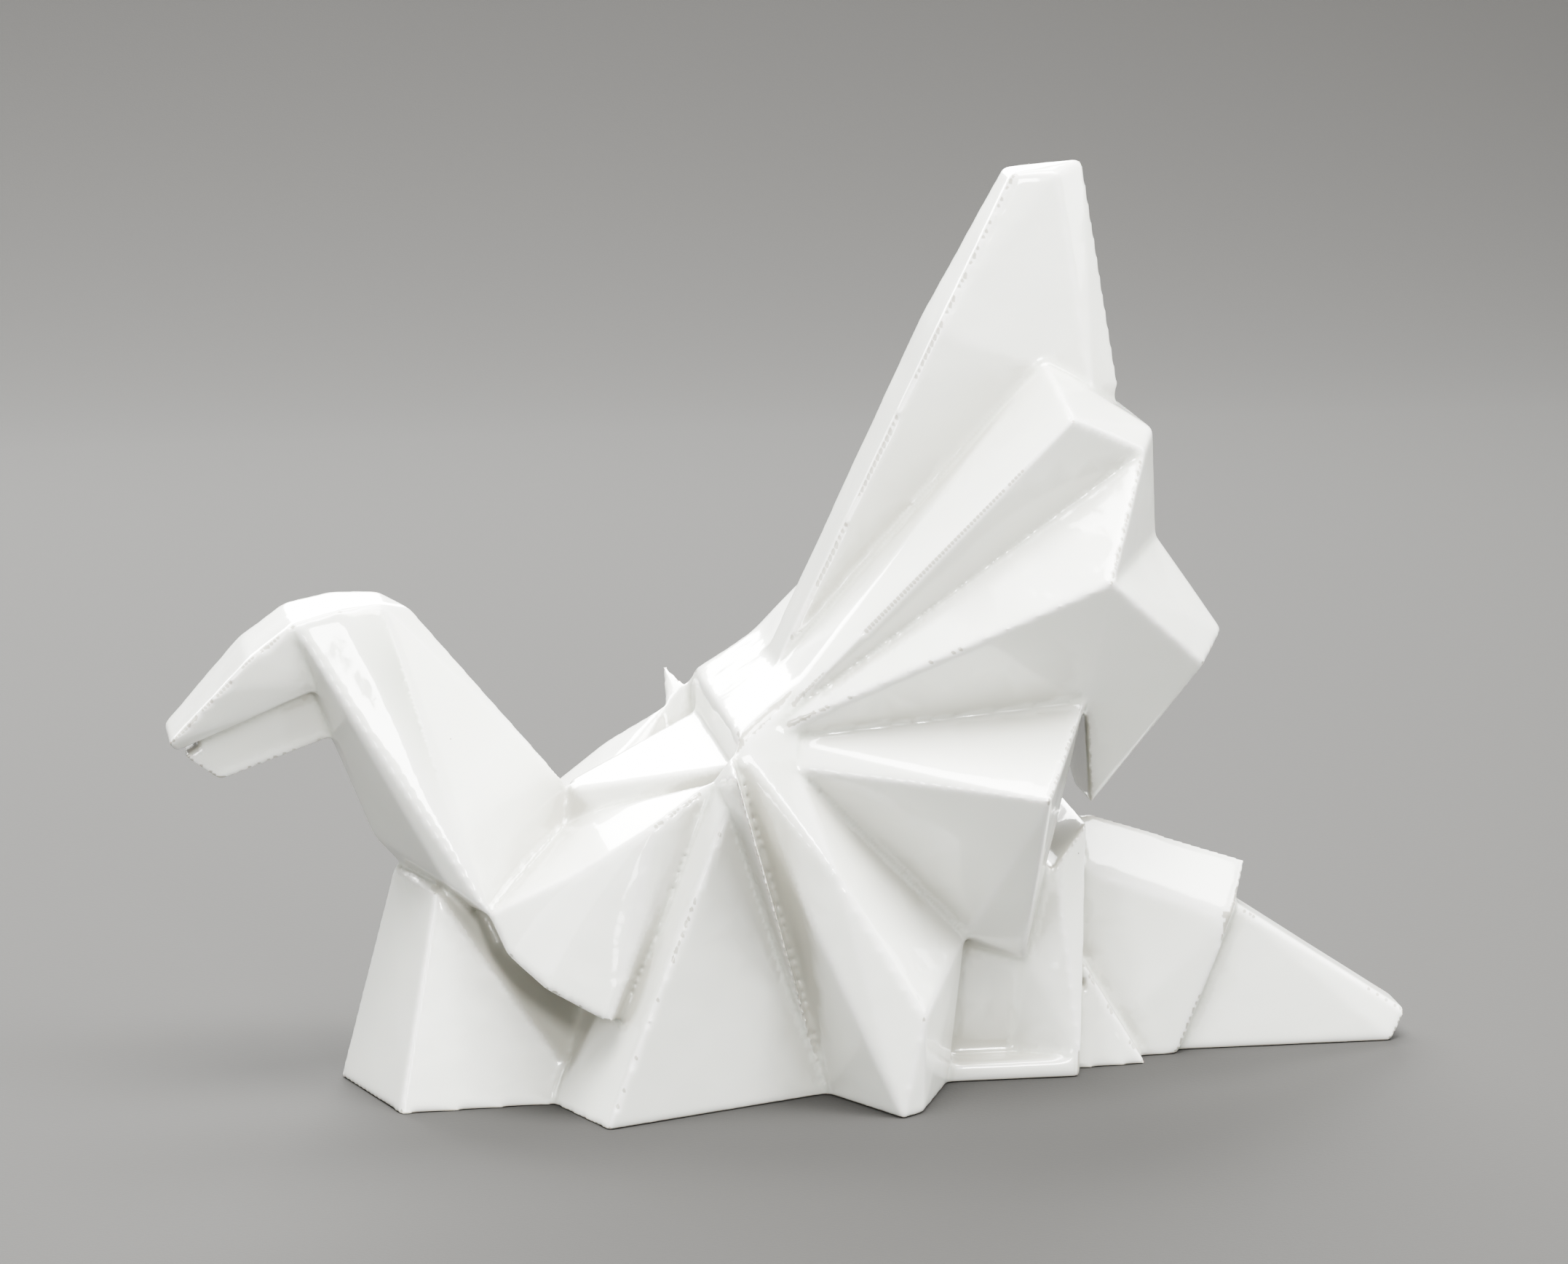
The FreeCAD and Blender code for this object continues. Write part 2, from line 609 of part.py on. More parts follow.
def tail_block():
    """The wedge behind the strut that carries the tail."""
    return folded_form(twins(
        place(TAIL_BLOCK_FRONT_X, 0, TAIL_BLOCK_FRONT_Z),
        place(TAIL_BLOCK_REAR_X, 0, TAIL_BLOCK_REAR_Z),
        place(TAIL_BLOCK_SIDE_X, TAIL_BLOCK_SIDE_Y, TAIL_BLOCK_SIDE_Z),
        place(TAIL_BLOCK_FOOT_FRONT_X, TAIL_BLOCK_FOOT_Y, 0),
        place(TAIL_BLOCK_FOOT_REAR_X, TAIL_BLOCK_FOOT_REAR_Y, 0),
        place(STRUT_MID_X, TAIL_BLOCK_CORE_Y, STRUT_MID_Z),
        place(STRUT_FOOT_FRONT_X, TAIL_BLOCK_CORE_Y, 0)))


def tail_tuck():
    """The small tucked corner at the foot of the tail block."""
    return folded_form(to_middle(
        place(TAIL_BLOCK_FOOT_FRONT_X, TAIL_TUCK_FRONT_Y, 0),
        place(TAIL_TUCK_REAR_X, TAIL_TUCK_REAR_Y, 0),
        place(TAIL_TUCK_TOP_X, TAIL_TUCK_TOP_Y, TAIL_TUCK_TOP_Z)))


def tail():
    """The tail, a flat-topped wedge that lies on the table."""
    return folded_form(twins(
        place(TAIL_BLOCK_SIDE_X, TAIL_TOP_Y, TAIL_ROOT_Z),
        place(TAIL_CORE_X, TAIL_TOP_Y, TAIL_ROOT_Z),
        place(TAIL_CORE_X, TAIL_FOOT_Y, 0),
        place(TAIL_END_X, TAIL_TOP_Y, TAIL_END_Z),
        place(TAIL_END_FOOT_X, TAIL_FOOT_Y, 0)))


def foot_recess():
    """The shallow hollow in the underside that leaves a rim to stand on."""
    front = BREAST_FOLD_FOOT_X + FOOT_RECESS_MARGIN
    rear = STEP_REAR_X - FOOT_RECESS_MARGIN
    half = RECESS_WALL_Y - FOOT_RECESS_MARGIN
    low = FreeCAD.Vector(front, -half, -OVERLAP)
    return Part.makeBox(rear - front, 2 * half, FOOT_RECESS_DEPTH + OVERLAP, low)


def vent():
    """The hole that lets the air out of the cast in the kiln."""
    radius = VENT_DIAMETER / 2
    return Part.makeCylinder(radius, VENT_DEPTH, FreeCAD.Vector(VENT_X, 0, 0))


def both_sides(form):
    """The form and its mirror image, joined."""
    other = form.mirror(FreeCAD.Vector(), FreeCAD.Vector(0, 1, 0))
    return form.fuse(other)


def whole_figure():
    """All folds joined into one solid."""
    skirt = [shoulder(), front_pleat(), front_pleat_foot(), rear_pleat(), flap(), flap_shank()]
    fan = [upper_wing_pleat(), long_wing_pleat(), wing_heel(), shelf_pleat()]
    under_fan = [recess_wall(), step(), strut(), tail_tuck()]
    paired = skirt + fan + under_fan
    single = [breast(), deck(), back(), neck(), head(), jaw(), wing_blade(), tail_block(), tail()]
    forms = single + [both_sides(form) for form in paired]
    figure = forms[0].multiFuse(forms[1:]).removeSplitter()
    return figure.cut(foot_recess()).cut(vent())


def centred(figure):
    """The figure moved along X so that the middle of its length is at the origin."""
    box = figure.BoundBox
    moved = figure.copy()
    moved.translate(FreeCAD.Vector(-(box.XMin + box.XMax) / 2, 0, 0))
    return moved


os.makedirs("parts", exist_ok=True)
crane = centred(whole_figure())
solid = crane.Solids[0]
box = solid.BoundBox
print("solids", len(crane.Solids), "valid", solid.isValid(), "volume cm3", round(solid.Volume / 1000))
print("box", round(box.XLength, 1), round(box.YLength, 1), round(box.ZLength, 1))
solid.exportStep("parts/crane_figure.step")
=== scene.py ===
import logging
import math
from dataclasses import dataclass, field
from enum import Enum

import bmesh
import bpy
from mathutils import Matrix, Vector, noise
from mathutils.bvhtree import BVHTree


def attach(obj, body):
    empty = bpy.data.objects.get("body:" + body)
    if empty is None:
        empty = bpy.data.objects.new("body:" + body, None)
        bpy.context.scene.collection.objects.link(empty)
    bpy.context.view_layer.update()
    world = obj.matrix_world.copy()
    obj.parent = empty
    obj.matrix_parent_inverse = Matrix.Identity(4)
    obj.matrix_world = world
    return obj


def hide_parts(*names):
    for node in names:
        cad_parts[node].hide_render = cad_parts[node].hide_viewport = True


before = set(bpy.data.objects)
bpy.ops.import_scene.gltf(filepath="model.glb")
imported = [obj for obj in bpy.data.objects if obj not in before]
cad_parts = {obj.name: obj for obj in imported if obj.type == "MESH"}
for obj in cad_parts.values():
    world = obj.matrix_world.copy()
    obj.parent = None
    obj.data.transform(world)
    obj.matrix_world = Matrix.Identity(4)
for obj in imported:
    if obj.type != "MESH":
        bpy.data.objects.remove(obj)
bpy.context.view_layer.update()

GLAZE_DEPTH = "glaze_depth"
SHELTER = "shelter"
MM = 0.001
MIX_SHARE, MIX_UNDER, MIX_OVER, MIX_RESULT = 0, 6, 7, 2

logging.basicConfig(level=logging.INFO, format="%(message)s")
log = logging.getLogger("crane")


class LampPlace(Enum):
    """Where a soft lamp hangs round the figure."""

    OVERHEAD = "overhead"
    KEY = "key"
    BACK = "back"
    NECK = "neck"
    CAMERA_LEFT = "camera_left"
    TOP_BACK = "top_back"
    LEFT = "left"
    RIGHT = "right"


def socket(node: bpy.types.Node, name: str, value: object) -> None:
    """Sets one input of a shader node."""
    node.inputs[name].default_value = value


def mapped(
    tree: bpy.types.NodeTree, value: bpy.types.NodeSocket, low: float, high: float,
    bottom: float = 0.0, top: float = 1.0,
) -> bpy.types.NodeSocket:
    """Maps a value from one range to another and holds it at the ends.

    Args:
        tree: The material's node tree.
        value: The value.
        low: Where the first range starts.
        high: Where the first range ends.
        bottom: What the start becomes.
        top: What the end becomes.

    Returns:
        The mapped value.
    """
    node = tree.nodes.new("ShaderNodeMapRange")
    socket(node, "From Min", low)
    socket(node, "From Max", high)
    socket(node, "To Min", bottom)
    socket(node, "To Max", top)
    tree.links.new(value, node.inputs["Value"])
    return node.outputs["Result"]


def layered(
    tree: bpy.types.NodeTree, under: bpy.types.NodeSocket, over: tuple, share: bpy.types.NodeSocket
) -> bpy.types.NodeSocket:
    """Lays one colour over another.

    Args:
        tree: The material's node tree.
        under: The colour below.
        over: The colour on top.
        share: How much of the colour on top shows.

    Returns:
        The mixed colour.
    """
    mix = tree.nodes.new("ShaderNodeMix")
    mix.data_type = "RGBA"
    tree.links.new(share, mix.inputs[MIX_SHARE])
    tree.links.new(under, mix.inputs[MIX_UNDER])
    mix.inputs[MIX_OVER].default_value = over
    return mix.outputs[MIX_RESULT]


@dataclass(frozen=True)
class PorcelainGlaze:
    """Clear glaze over white porcelain: thin on the edges, pooled and a little green-grey in the folds, with painted
    shade darkening the sheltered folds and recesses.
    """

    name: str = "porcelain_glaze"
    white: tuple = (0.695, 0.71, 0.655, 1.0)
    thin_white: tuple = (0.76, 0.76, 0.735, 1.0)
    pooled: tuple = (0.45, 0.47, 0.41, 1.0)
    # Painted shade: a dark warm colour laid into sheltered folds and recesses, where shade falls.
    painted_fold_shade: tuple = (0.30, 0.29, 0.245, 1.0)
    pinhole: tuple = (0.16, 0.14, 0.11, 1.0)
    bare_foot: tuple = (0.60, 0.56, 0.48, 1.0)
    roughness: float = 0.30
    foot_roughness: float = 0.85
    coat: float = 0.9
    coat_roughness: float = 0.06
    ior: float = 1.52
    inner_glow: float = 0.05
    glow_reach: float = 2.5 * MM
    thin_at: float = 0.30
    even_at: float = 0.50
    fold_at: float = 0.92
    # How the fold shelter maps to the strength of the painted shade.
    shelter_from: float = 0.03
    shelter_to: float = 0.38
    painted_shade_strength: float = 0.9
    mottle_scale: float = 30.0
    mottle_detail: float = 3.0
    mottle_from: float = 0.35
    mottle_to: float = 0.75
    mottle_share: float = 0.06
    relief_layers: tuple = ((50.0, 0.34 * MM), (150.0, 0.06 * MM), (420.0, 0.010 * MM))
    relief_detail: float = 1.0
    pinhole_scale: float = 50.0
    pinhole_radius: float = 0.35 * MM
    foot_height: float = 0.9 * MM
    soft_rim: float = 0.5

    def material(self) -> bpy.types.Material:
        """Makes the glaze.

        Returns:
            The finished material.
        """
        made = bpy.data.materials.new(self.name)
        made.use_nodes = True
        nodes = made.node_tree.nodes
        shader = nodes["Principled BSDF"]
        socket(shader, "IOR", self.ior)
        socket(shader, "Coat Weight", self.coat)
        socket(shader, "Coat Roughness", self.coat_roughness)
        socket(shader, "Subsurface Weight", self.inner_glow)
        socket(shader, "Subsurface Scale", self.glow_reach)
        self.colour(made.node_tree, shader)
        self.relief(made.node_tree, shader)
        return made

    def colour(self, tree: bpy.types.NodeTree, shader: bpy.types.Node) -> None:
        """Colours the glaze by its thickness, with painted shade in the sheltered folds, faint mottling, a few
        pinholes and a bare foot.

        Args:
            tree: The material's node tree.
            shader: The shader that takes the colour and the roughness.
        """
        place = tree.nodes.new("ShaderNodeTexCoord").outputs["Object"]
        foot = self.foot_share(tree, place)
        glaze = self.by_thickness(tree)
        # Painted shade: sheltered folds and recesses are darkened in the colour itself.
        glaze = layered(tree, glaze, self.painted_fold_shade, self.painted_shade_share(tree))
        glaze = layered(tree, glaze, self.pooled, self.mottled_share(tree, place))
        glaze = layered(tree, glaze, self.pinhole, self.pinholed_share(tree, place))
        glaze = layered(tree, glaze, self.bare_foot, foot)
        tree.links.new(glaze, shader.inputs["Base Color"])
        rough = mapped(tree, foot, 0.0, 1.0, self.roughness, self.foot_roughness)
        tree.links.new(rough, shader.inputs["Roughness"])

    def by_thickness(self, tree: bpy.types.NodeTree) -> bpy.types.NodeSocket:
        """Colours the glaze from thin on the edges to pooled in the folds.

        Args:
            tree: The material's node tree.

        Returns:
            The colour.
        """
        depth = tree.nodes.new("ShaderNodeAttribute")
        depth.attribute_name = GLAZE_DEPTH
        thickness = tree.nodes.new("ShaderNodeValToRGB")
        thickness.color_ramp.elements[0].position = self.thin_at
        thickness.color_ramp.elements[0].color = self.thin_white
        thickness.color_ramp.elements[1].position = self.even_at
        thickness.color_ramp.elements[1].color = self.white
        fold = thickness.color_ramp.elements.new(self.fold_at)
        fold.color = self.pooled
        tree.links.new(depth.outputs["Fac"], thickness.inputs["Fac"])
        return thickness.outputs["Color"]

    def painted_shade_share(self, tree: bpy.types.NodeTree) -> bpy.types.NodeSocket:
        """Finds how much painted shade darkens a point, from how much the folds round it hide the room.

        Args:
            tree: The material's node tree.

        Returns:
            The share.
        """
        shelter = tree.nodes.new("ShaderNodeAttribute")
        shelter.attribute_name = SHELTER
        return mapped(tree, shelter.outputs["Fac"], self.shelter_from, self.shelter_to, top=self.painted_shade_strength)

    def mottled_share(self, tree: bpy.types.NodeTree, place: bpy.types.NodeSocket) -> bpy.types.NodeSocket:
        """Spreads a faint mottling through the glaze.

        Args:
            tree: The material's node tree.
            place: The point on the piece.

        Returns:
            The share.
        """
        mottle = tree.nodes.new("ShaderNodeTexNoise")
        socket(mottle, "Scale", self.mottle_scale)
        socket(mottle, "Detail", self.mottle_detail)
        tree.links.new(place, mottle.inputs["Vector"])
        return mapped(tree, mottle.outputs["Fac"], self.mottle_from, self.mottle_to, top=self.mottle_share)

    def pinholed_share(self, tree: bpy.types.NodeTree, place: bpy.types.NodeSocket) -> bpy.types.NodeSocket:
        """Scatters a few pinholes.

        Args:
            tree: The material's node tree.
            place: The point on the piece.

        Returns:
            The share.
        """
        cells = tree.nodes.new("ShaderNodeTexVoronoi")
        socket(cells, "Scale", self.pinhole_scale)
        tree.links.new(place, cells.inputs["Vector"])
        radius = self.pinhole_radius * self.pinhole_scale
        return mapped(tree, cells.outputs["Distance"], radius, radius * self.soft_rim)

    def foot_share(self, tree: bpy.types.NodeTree, place: bpy.types.NodeSocket) -> bpy.types.NodeSocket:
        """Finds the unglazed foot.

        Args:
            tree: The material's node tree.
            place: The point on the piece.

        Returns:
            The share.
        """
        height = tree.nodes.new("ShaderNodeSeparateXYZ")
        tree.links.new(place, height.inputs["Vector"])
        return mapped(tree, height.outputs["Z"], self.foot_height, self.foot_height * self.soft_rim)

    def relief(self, tree: bpy.types.NodeTree, shader: bpy.types.Node) -> None:
        """Gives the glaze its slow ripple and its fine orange peel.

        Args:
            tree: The material's node tree.
            shader: The shader that takes the relief.
        """
        nodes, links = tree.nodes, tree.links
        place = nodes.new("ShaderNodeTexCoord")
        lower = None
        for scale, height in self.relief_layers:
            wave = nodes.new("ShaderNodeTexNoise")
            socket(wave, "Scale", scale)
            socket(wave, "Detail", self.relief_detail)
            links.new(place.outputs["Object"], wave.inputs["Vector"])
            bump = nodes.new("ShaderNodeBump")
            socket(bump, "Strength", 1.0)
            socket(bump, "Distance", height)
            links.new(wave.outputs["Fac"], bump.inputs["Height"])
            if lower is not None:
                links.new(lower.outputs["Normal"], bump.inputs["Normal"])
            lower = bump
        links.new(lower.outputs["Normal"], shader.inputs["Normal"])
        links.new(lower.outputs["Normal"], shader.inputs["Coat Normal"])


@dataclass(frozen=True)
class StudioPaper:
    """Matt warm-grey paper of the seamless background."""

    name: str = "studio_paper"
    grey: tuple = (0.0203, 0.0197, 0.0190, 1.0)
    roughness: float = 0.9
    specular: float = 0.2
    fleck_scale: float = 900.0
    fleck_height: float = 0.05 * MM

    def material(self) -> bpy.types.Material:
        """Makes the paper.

        Returns:
            The finished material.
        """
        made = bpy.data.materials.new(self.name)
        made.use_nodes = True
        nodes, links = made.node_tree.nodes, made.node_tree.links
        shader = nodes["Principled BSDF"]
        socket(shader, "Base Color", self.grey)
        socket(shader, "Roughness", self.roughness)
        socket(shader, "Specular IOR Level", self.specular)
        place = nodes.new("ShaderNodeTexCoord")
        fleck = nodes.new("ShaderNodeTexNoise")
        socket(fleck, "Scale", self.fleck_scale)
        bump = nodes.new("ShaderNodeBump")
        socket(bump, "Distance", self.fleck_height)
        links.new(place.outputs["Object"], fleck.inputs["Vector"])
        links.new(fleck.outputs["Fac"], bump.inputs["Height"])
        links.new(bump.outputs["Normal"], shader.inputs["Normal"])
        return made


@dataclass(frozen=True)
class NeckSwell:
    """The slight roundness of the neck's two flat sides."""

    top: tuple = (-0.133, 0.150)
    foot: tuple = (-0.083, 0.076)
    half_width: float = 17.0 * MM
    height: float = 0.8 * MM
    end_fade: float = 0.25
    side_facing: float = 0.85

    def rise(self, spot: Vector, normal: Vector) -> float:
        """Finds how far a point of the neck's side stands out.

        Args:
            spot: The point.
            normal: The surface direction there.

        Returns:
            The height over the flat side, zero elsewhere.
        """
        if abs(normal.y) < self.side_facing:
            return 0.0
        top, foot = Vector(self.top), Vector(self.foot)
        along = foot - top
        offset = Vector((spot.x, spot.z)) - top
        share = offset.dot(along) / along.length_squared
        aside = (offset - along * share).length / self.half_width
        inside = min(share, 1.0 - share)
        if inside <= 0.0 or aside >= 1.0:
            return 0.0
        return self.height * (1.0 - aside ** 2) ** 2 * min(1.0, inside / self.end_fade)


@dataclass(frozen=True)
class SoftBend:
    """A place on each side where two faces run into each other without an edge."""

    spot: tuple
    reach: float
    passes: int = 8
    rings: int = 4

    def soften(self, shape: bmesh.types.BMesh) -> None:
        """Smooths the mesh round the place, most in its middle.

        Args:
            shape: The mesh that is shaped.
        """
        middle = Vector(self.spot)
        away = {}
        for vert in shape.verts:
            away[vert] = (Vector((vert.co.x, -abs(vert.co.y), vert.co.z)) - middle).length
        for ring in range(self.rings):
            reach = self.reach * (1.0 - ring / self.rings)
            near = [vert for vert, distance in away.items() if distance < reach]
            smooth(shape, near, self.passes)


def smooth(shape: bmesh.types.BMesh, verts: list, passes: int, share: float = 0.5) -> None:
    """Moves vertices towards the middle of their neighbours, several times.

    Args:
        shape: The mesh that is shaped.
        verts: The vertices that move.
        passes: How often they move.
        share: How far they move each time.
    """
    for _ in range(passes):
        bmesh.ops.smooth_vert(
            shape, verts=verts, factor=share, use_axis_x=True, use_axis_y=True, use_axis_z=True
        )


@dataclass(frozen=True)
class FoldShelter:
    """How much of the room the neighbouring folds hide from a point; the glaze colour turns this into painted shade.
    """

    rays: int = 12
    reach: float = 60.0 * MM
    lift: float = 0.8 * MM

    def directions(self) -> list:
        """Spreads directions over a half ball round +Z, most of them upright.

        Returns:
            The unit directions.
        """
        turn = math.pi * (3.0 - math.sqrt(5.0))
        made = []
        for step in range(self.rays):
            height = math.sqrt((step + 0.5) / self.rays)
            aside = math.sqrt(1.0 - height ** 2)
            made.append(Vector((aside * math.cos(turn * step), aside * math.sin(turn * step), height)))
        return made

    def mark(self, piece: bpy.types.Object, cast_tree: BVHTree) -> None:
        """Writes the shelter of each point, from 0 in the open to 1 deep in a fold.

        Args:
            piece: The finished mesh's object.
            cast_tree: The cast form, which hides the room.
        """
        shelter = piece.data.attributes.new(SHELTER, "FLOAT", "POINT")
        directions = self.directions()
        for vert in piece.data.vertices:
            turn = vert.normal.to_track_quat("Z", "Y")
            start = vert.co + vert.normal * self.lift
            hidden = 0.0
            for direction in directions:
                met = cast_tree.ray_cast(start, turn @ direction, self.reach)
                if met[0] is not None:
                    hidden += 1.0 - met[3] / self.reach
            shelter.data[vert.index].value = hidden / self.rays


@dataclass
class CraneFigure:
    """The cast figure with its edges rounded and its folds filled by glaze."""

    node: str = "crane_figure"
    slot: str = "glaze"
    body: str = "root"
    weld: float = 0.01 * MM
    grain: float = 0.95 * MM
    rounding_passes: int = 9
    sag_length: float = 17.0 * MM
    sag: float = 0.16 * MM
    foot_stays: float = 0.4 * MM
    full_depth: float = 0.9 * MM
    even_depth: float = 0.5
    most_triangles: int = 170000
    swell: NeckSwell = field(default_factory=NeckSwell)
    soft_bends: tuple = (
        SoftBend((-0.013, -0.046, 0.122), 17.0 * MM),
        SoftBend((-0.017, -0.047, 0.113), 13.0 * MM),
        SoftBend((-0.087, -0.027, 0.072), 15.0 * MM),
        SoftBend((-0.075, -0.023, 0.079), 15.0 * MM),
        SoftBend((-0.054, -0.057, 0.064), 18.0 * MM),
        SoftBend((-0.068, -0.052, 0.058), 18.0 * MM),
        SoftBend((0.094, -0.012, 0.057), 13.0 * MM),
        SoftBend((0.110, -0.012, 0.052), 13.0 * MM),
        SoftBend((0.126, -0.013, 0.046), 13.0 * MM),
    )
    shelter: FoldShelter = field(default_factory=FoldShelter)
    glaze: PorcelainGlaze = field(default_factory=PorcelainGlaze)

    def build(self) -> bpy.types.Object:
        """Builds the glazed figure over its cast form.

        Returns:
            The finished piece.
        """
        cast = self.cast_form()
        cast_tree = BVHTree.FromBMesh(cast)
        grained = self.grained(cast)
        cast.free()
        self.round_off(grained)
        piece = self.thinned(grained)
        self.mark_depth(piece, cast_tree)
        # The shelter drives the painted shade in the glaze colour.
        self.shelter.mark(piece, cast_tree)
        piece.data.materials.append(self.glaze.material())
        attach(piece, self.body)
        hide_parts(self.node)
        log.info("%s: %d triangles", piece.name, len(piece.data.polygons))
        return piece

    def cast_form(self) -> bmesh.types.BMesh:
        """Copies the cast form's mesh and joins its loose triangles.

        Returns:
            The joined copy.
        """
        copy = bmesh.new()
        copy.from_mesh(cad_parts[self.node].data)
        bmesh.ops.remove_doubles(copy, verts=copy.verts, dist=self.weld)
        copy.faces.ensure_lookup_table()
        return copy

    def grained(self, cast: bmesh.types.BMesh) -> bpy.types.Object:
        """Covers the cast form with an even fine mesh.

        Args:
            cast: The joined copy of the cast form.

        Returns:
            An object with the fine mesh.
        """
        mesh = bpy.data.meshes.new("glazed_crane")
        cast.to_mesh(mesh)
        fine = bpy.data.objects.new("glazed_crane", mesh)
        bpy.context.scene.collection.objects.link(fine)
        remesh = fine.modifiers.new("grain", "REMESH")
        remesh.mode = "VOXEL"
        remesh.voxel_size = self.grain
        self.apply_modifiers(fine)
        return fine

    @staticmethod
    def apply_modifiers(piece: bpy.types.Object) -> None:
        """Makes the modifiers' result the piece's own mesh.

        Args:
            piece: The object with the modifiers.
        """
        graph = bpy.context.evaluated_depsgraph_get()
        made = bpy.data.meshes.new_from_object(piece.evaluated_get(graph))
        piece.modifiers.clear()
        old = piece.data
        piece.data = made
        bpy.data.meshes.remove(old)

    def round_off(self, piece: bpy.types.Object) -> None:
        """Rounds the edges, fills the folds a little and lets the faces sag as a fired cast does.

        Args:
            piece: The object whose mesh is shaped.
        """
        shape = bmesh.new()
        shape.from_mesh(piece.data)
        smooth(shape, shape.verts[:], self.rounding_passes)
        for bend in self.soft_bends:
            bend.soften(shape)
        shape.normal_update()
        for vert in shape.verts:
            if vert.co.z > self.foot_stays:
                wave = noise.noise(vert.co / self.sag_length)
                rise = self.swell.rise(vert.co, vert.normal)
                vert.co += vert.normal * (rise + self.sag * (wave - 1.0) / 2.0)
        shape.to_mesh(piece.data)
        shape.free()

    def thinned(self, piece: bpy.types.Object) -> bpy.types.Object:
        """Thins the mesh where it is flat and gives it smooth faces.

        Args:
            piece: The object with the full fine mesh.

        Returns:
            The same object.
        """
        triangles = sum(len(face.vertices) - 2 for face in piece.data.polygons)
        thin = piece.modifiers.new("thin", "DECIMATE")
        thin.ratio = min(1.0, self.most_triangles / triangles)
        self.apply_modifiers(piece)
        final = bmesh.new()
        final.from_mesh(piece.data)
        bmesh.ops.triangulate(final, faces=final.faces)
        final.to_mesh(piece.data)
        final.free()
        piece.data.polygons.foreach_set("use_smooth", [True] * len(piece.data.polygons))
        return piece

    def mark_depth(self, piece: bpy.types.Object, cast_tree: BVHTree) -> None:
        """Writes how thick the glaze lies at each point: 0.5 on a flat face, more in a fold, less on an edge.

        Args:
            piece: The finished mesh's object.
            cast_tree: The cast form, to measure from.
        """
        depth = piece.data.attributes.new(GLAZE_DEPTH, "FLOAT", "POINT")
        for vert in piece.data.vertices:
            near, normal, _, reach = cast_tree.find_nearest(vert.co)
            outward = math.copysign(reach, (vert.co - near).dot(normal))
            depth.data[vert.index].value = self.even_depth + outward / (2.0 * self.full_depth)


@dataclass
class SeamlessSweep:
    """Floor that curves up behind the figure."""

    name: str = "studio_sweep"
    half_width: float = 7.0
    front: float = -4.0
    bend_start: float = 1.1
    bend_radius: float = 0.9
    bend_angle: float = 50.0
    bend_steps: int = 24
    paper: StudioPaper = field(default_factory=StudioPaper)

    def build(self) -> bpy.types.Object:
        """Builds the sweep.

        Returns:
            The stage object.
        """
        shape = bmesh.new()
        ends = [shape.verts.new((x, self.front, 0.0)) for x in (-self.half_width, self.half_width)]
        edge = shape.edges.new(ends)
        floor = bmesh.ops.extrude_edge_only(shape, edges=[edge])["geom"]
        bmesh.ops.translate(
            shape, verts=self.of_type(floor, bmesh.types.BMVert), vec=(0.0, self.bend_start - self.front, 0.0)
        )
        bmesh.ops.spin(
            shape, geom=self.of_type(floor, bmesh.types.BMVert) + self.of_type(floor, bmesh.types.BMEdge),
            cent=(0.0, self.bend_start, self.bend_radius), axis=(1.0, 0.0, 0.0), angle=math.radians(self.bend_angle),
            steps=self.bend_steps, use_duplicate=False,
        )
        bmesh.ops.remove_doubles(shape, verts=shape.verts, dist=MM)
        bmesh.ops.recalc_face_normals(shape, faces=shape.faces)
        mesh = bpy.data.meshes.new(self.name)
        shape.to_mesh(mesh)
        shape.free()
        mesh.polygons.foreach_set("use_smooth", [True] * len(mesh.polygons))
        mesh.materials.append(self.paper.material())
        sweep = bpy.data.objects.new(self.name, mesh)
        bpy.context.scene.collection.objects.link(sweep)
        log.info("%s: %d faces", sweep.name, len(mesh.polygons))
        return sweep

    @staticmethod
    def of_type(geometry: list, kind: type) -> list:
        """Picks the vertices or the edges out of an operator's result."""
        return [item for item in geometry if isinstance(item, kind)]


@dataclass
class SoftLamp:
    """One large soft lamp, aimed at the figure."""

    place: LampPlace
    spot: tuple
    width: float
    length: float
    power: float
    colour: tuple = (1.0, 1.0, 0.97)
    aim: tuple = (0.0, 0.0, 0.12)

    def build(self) -> bpy.types.Object:
        """Hangs the lamp.

        Returns:
            The lamp's object.
        """
        data = bpy.data.lights.new(self.place.value, "AREA")
        data.shape = "RECTANGLE"
        data.size = self.width
        data.size_y = self.length
        data.energy = self.power
        data.color = self.colour
        lamp = bpy.data.objects.new("lamp_" + self.place.value, data)
        lamp.location = self.spot
        lamp.rotation_euler = (Vector(self.aim) - Vector(self.spot)).to_track_quat("-Z", "Y").to_euler()
        bpy.context.scene.collection.objects.link(lamp)
        log.info("%s: %.0f W", lamp.name, self.power)
        return lamp


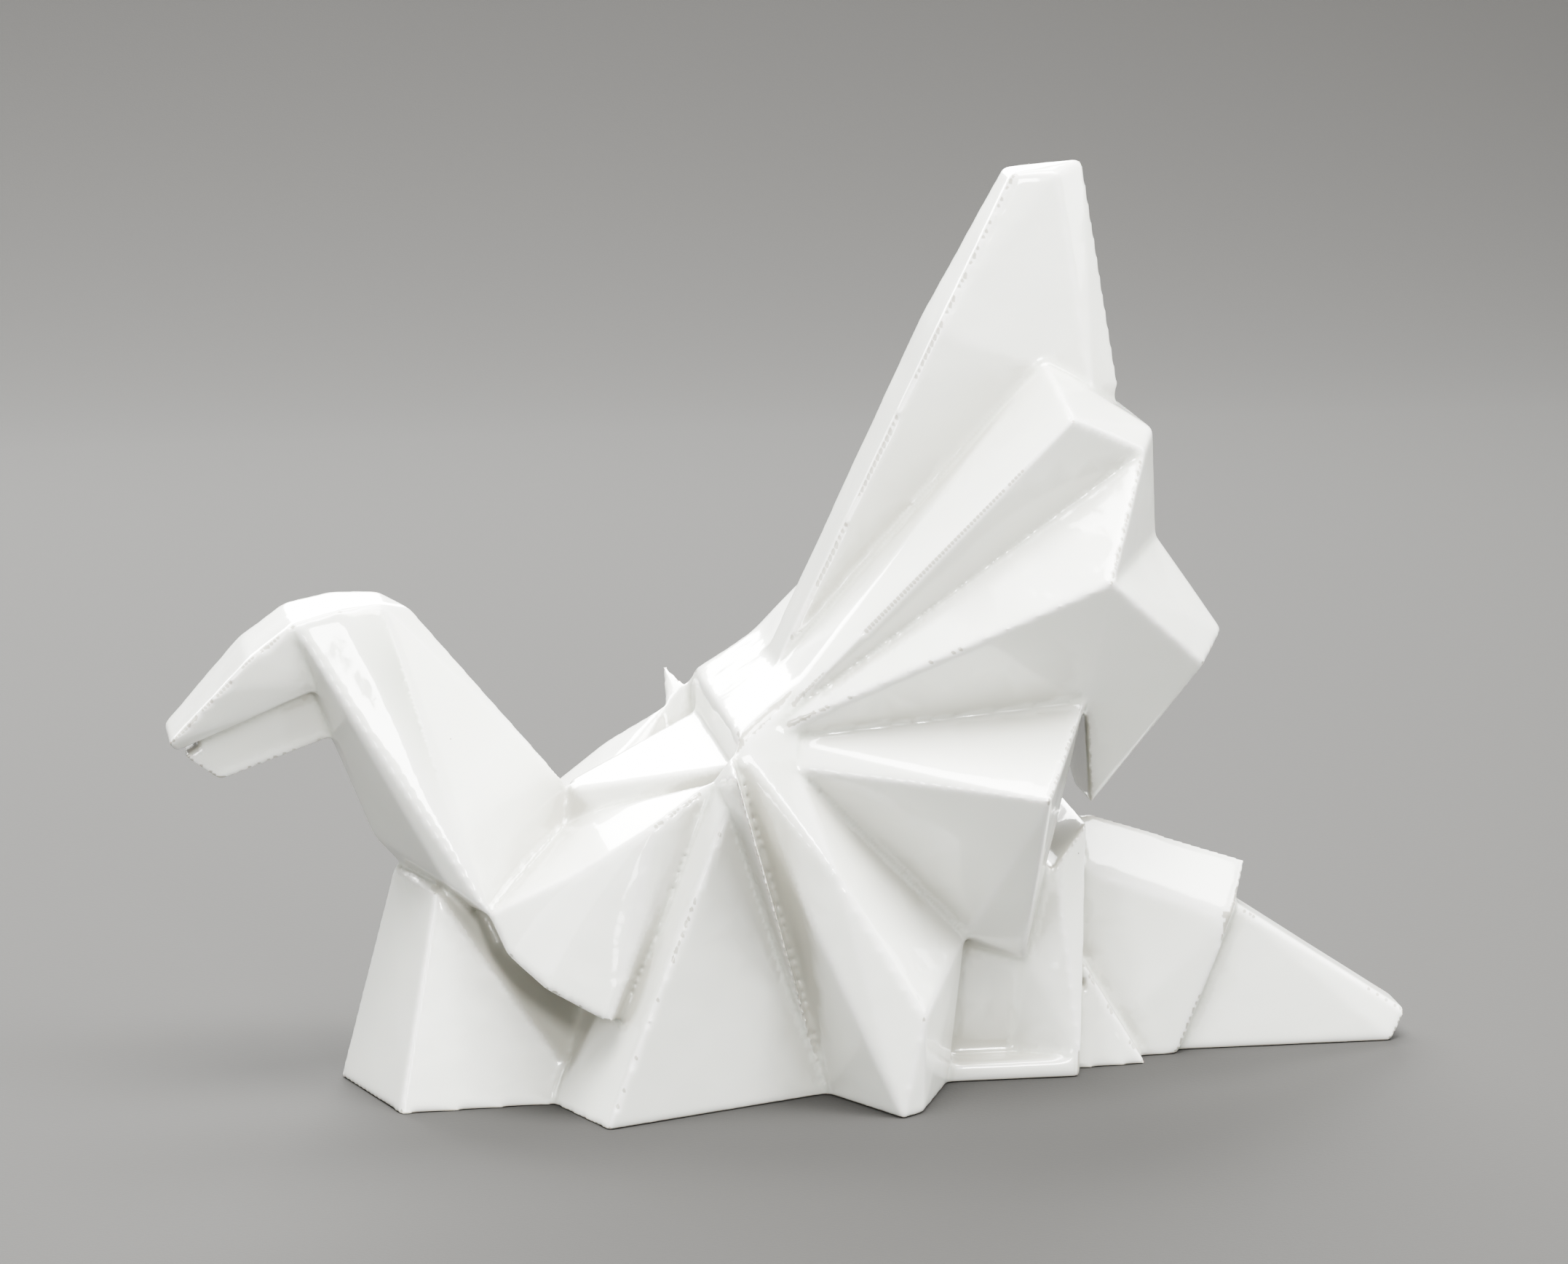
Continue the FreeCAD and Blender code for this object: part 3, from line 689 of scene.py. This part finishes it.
@dataclass
class Studio:
    """The room light, the lamps and the sweep."""

    room_light: tuple = (0.80, 0.82, 0.84, 1.0)
    room_strength: float = 0.15
    sweep: SeamlessSweep = field(default_factory=SeamlessSweep)
    lamps: tuple = (
        SoftLamp(LampPlace.OVERHEAD, (0.1, -0.35, 1.95), 1.6, 1.0, 340.0),
        SoftLamp(LampPlace.TOP_BACK, (-0.1, 1.0, 1.7), 1.4, 0.6, 120.0),
        SoftLamp(LampPlace.KEY, (1.12, -0.62, 1.66), 0.8, 0.7, 70.0),
        SoftLamp(LampPlace.BACK, (-0.3, 2.3, 1.0), 2.6, 0.9, 280.0),
        SoftLamp(LampPlace.NECK, (0.42, -2.3, 0.95), 0.34, 0.5, 72.0),
        SoftLamp(LampPlace.CAMERA_LEFT, (-0.9, -2.3, 0.4), 0.30, 0.6, 24.0),
        SoftLamp(LampPlace.LEFT, (-1.46, -1.22, 0.72), 0.8, 0.8, 20.0),
        SoftLamp(LampPlace.RIGHT, (1.9, 0.1, 0.72), 0.8, 0.8, 28.0),
    )

    def build(self) -> None:
        """Sets up the studio."""
        world = bpy.data.worlds.new("studio_room")
        world.use_nodes = True
        background = world.node_tree.nodes["Background"]
        socket(background, "Color", self.room_light)
        socket(background, "Strength", self.room_strength)
        bpy.context.scene.world = world
        self.sweep.build()
        for lamp in self.lamps:
            lamp.build()


@dataclass
class PhotoCamera:
    """The camera at the photograph's place."""

    spot: tuple = (-0.2734, -1.7033, 0.5002)
    pitch: float = 78.0
    turn: float = -9.0
    focal: float = 133.7
    sensor: float = 36.0
    sees_to: float = 50.0

    def build(self) -> bpy.types.Object:
        """Sets up the camera.

        Returns:
            The camera's object.
        """
        data = bpy.data.cameras.new("photo_camera")
        data.sensor_width = self.sensor
        data.lens = self.focal
        data.clip_end = self.sees_to
        camera = bpy.data.objects.new("photo_camera", data)
        camera.location = self.spot
        camera.rotation_euler = (math.radians(self.pitch), 0.0, math.radians(self.turn))
        bpy.context.scene.collection.objects.link(camera)
        bpy.context.scene.camera = camera
        return camera


def main() -> None:
    """Builds the camera, the figure and the studio in order."""
    PhotoCamera().build()
    CraneFigure().build()
    Studio().build()


if __name__ == "__main__":
    main()
